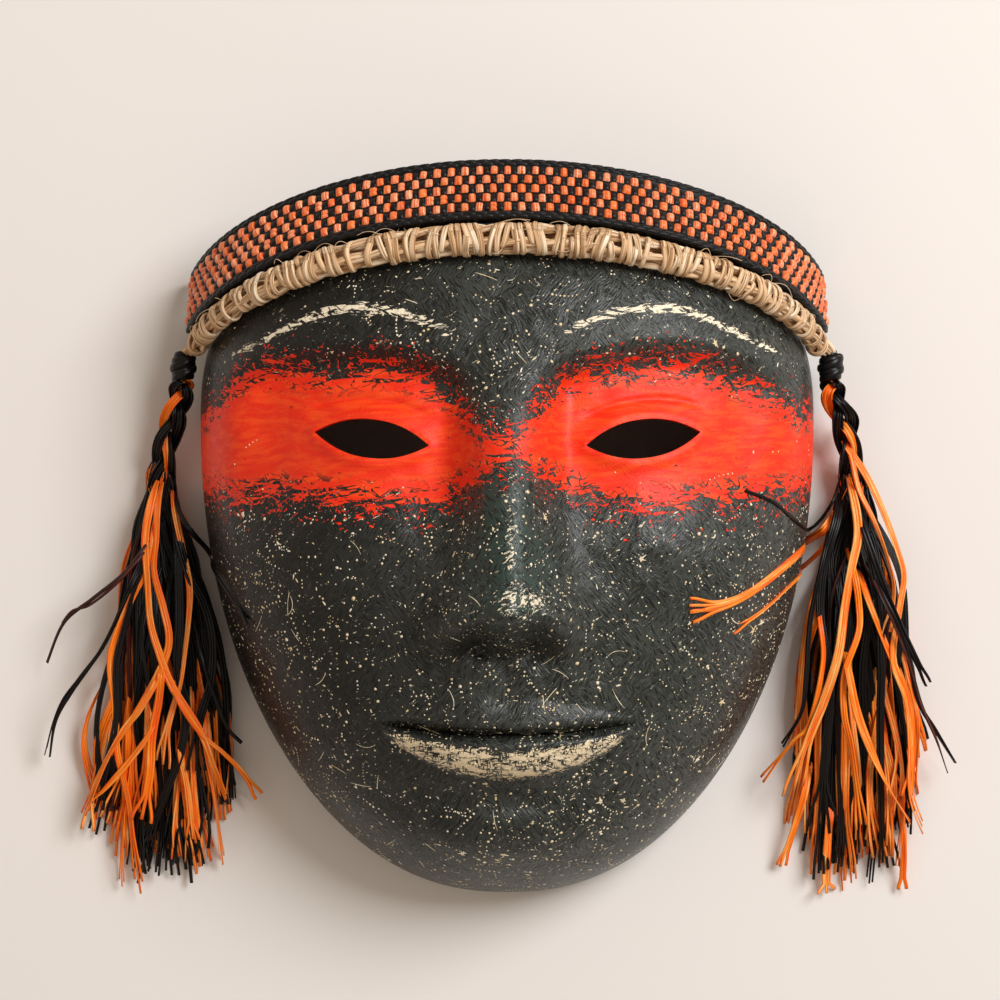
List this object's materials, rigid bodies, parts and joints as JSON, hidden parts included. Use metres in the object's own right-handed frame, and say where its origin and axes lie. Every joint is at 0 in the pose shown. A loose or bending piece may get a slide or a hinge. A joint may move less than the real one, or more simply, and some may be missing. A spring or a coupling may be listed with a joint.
{
  "type": "carved face mask",
  "caption": "Hollow carved wooden face mask with almond eye slits, a woven headband, a raffia braid over the forehead and a raffia tassel at each temple.",
  "frame": {"origin": "under the middle of the whole object's bounding box, on the surface that the rim of the mask lies on", "axes": "+X to the right as one looks at the face, +Y from the chin to the forehead, +Z out of the face"},
  "size_m": [0.3016, 0.2348, 0.1043],
  "materials": {
    "painted_wood": "black-green paint, satin, worn, with a red band over the eyes and cream strokes and dots",
    "woven_bast": "orange and black bast in a fine check weave with black edges",
    "raffia": "natural tan raffia, knotted, matt with a slight sheen",
    "black_raffia": "black dyed raffia, wound tight",
    "dyed_raffia": "orange and black dyed raffia ribbons"
  },
  "bodies": {
    "root": {"mask_shell": "painted_wood", "headband": "woven_bast", "forehead_braid": "raffia", "left_binding": "black_raffia", "right_binding": "black_raffia", "left_tassel": "dyed_raffia", "right_tassel": "dyed_raffia"}
  },
  "joints": []
}
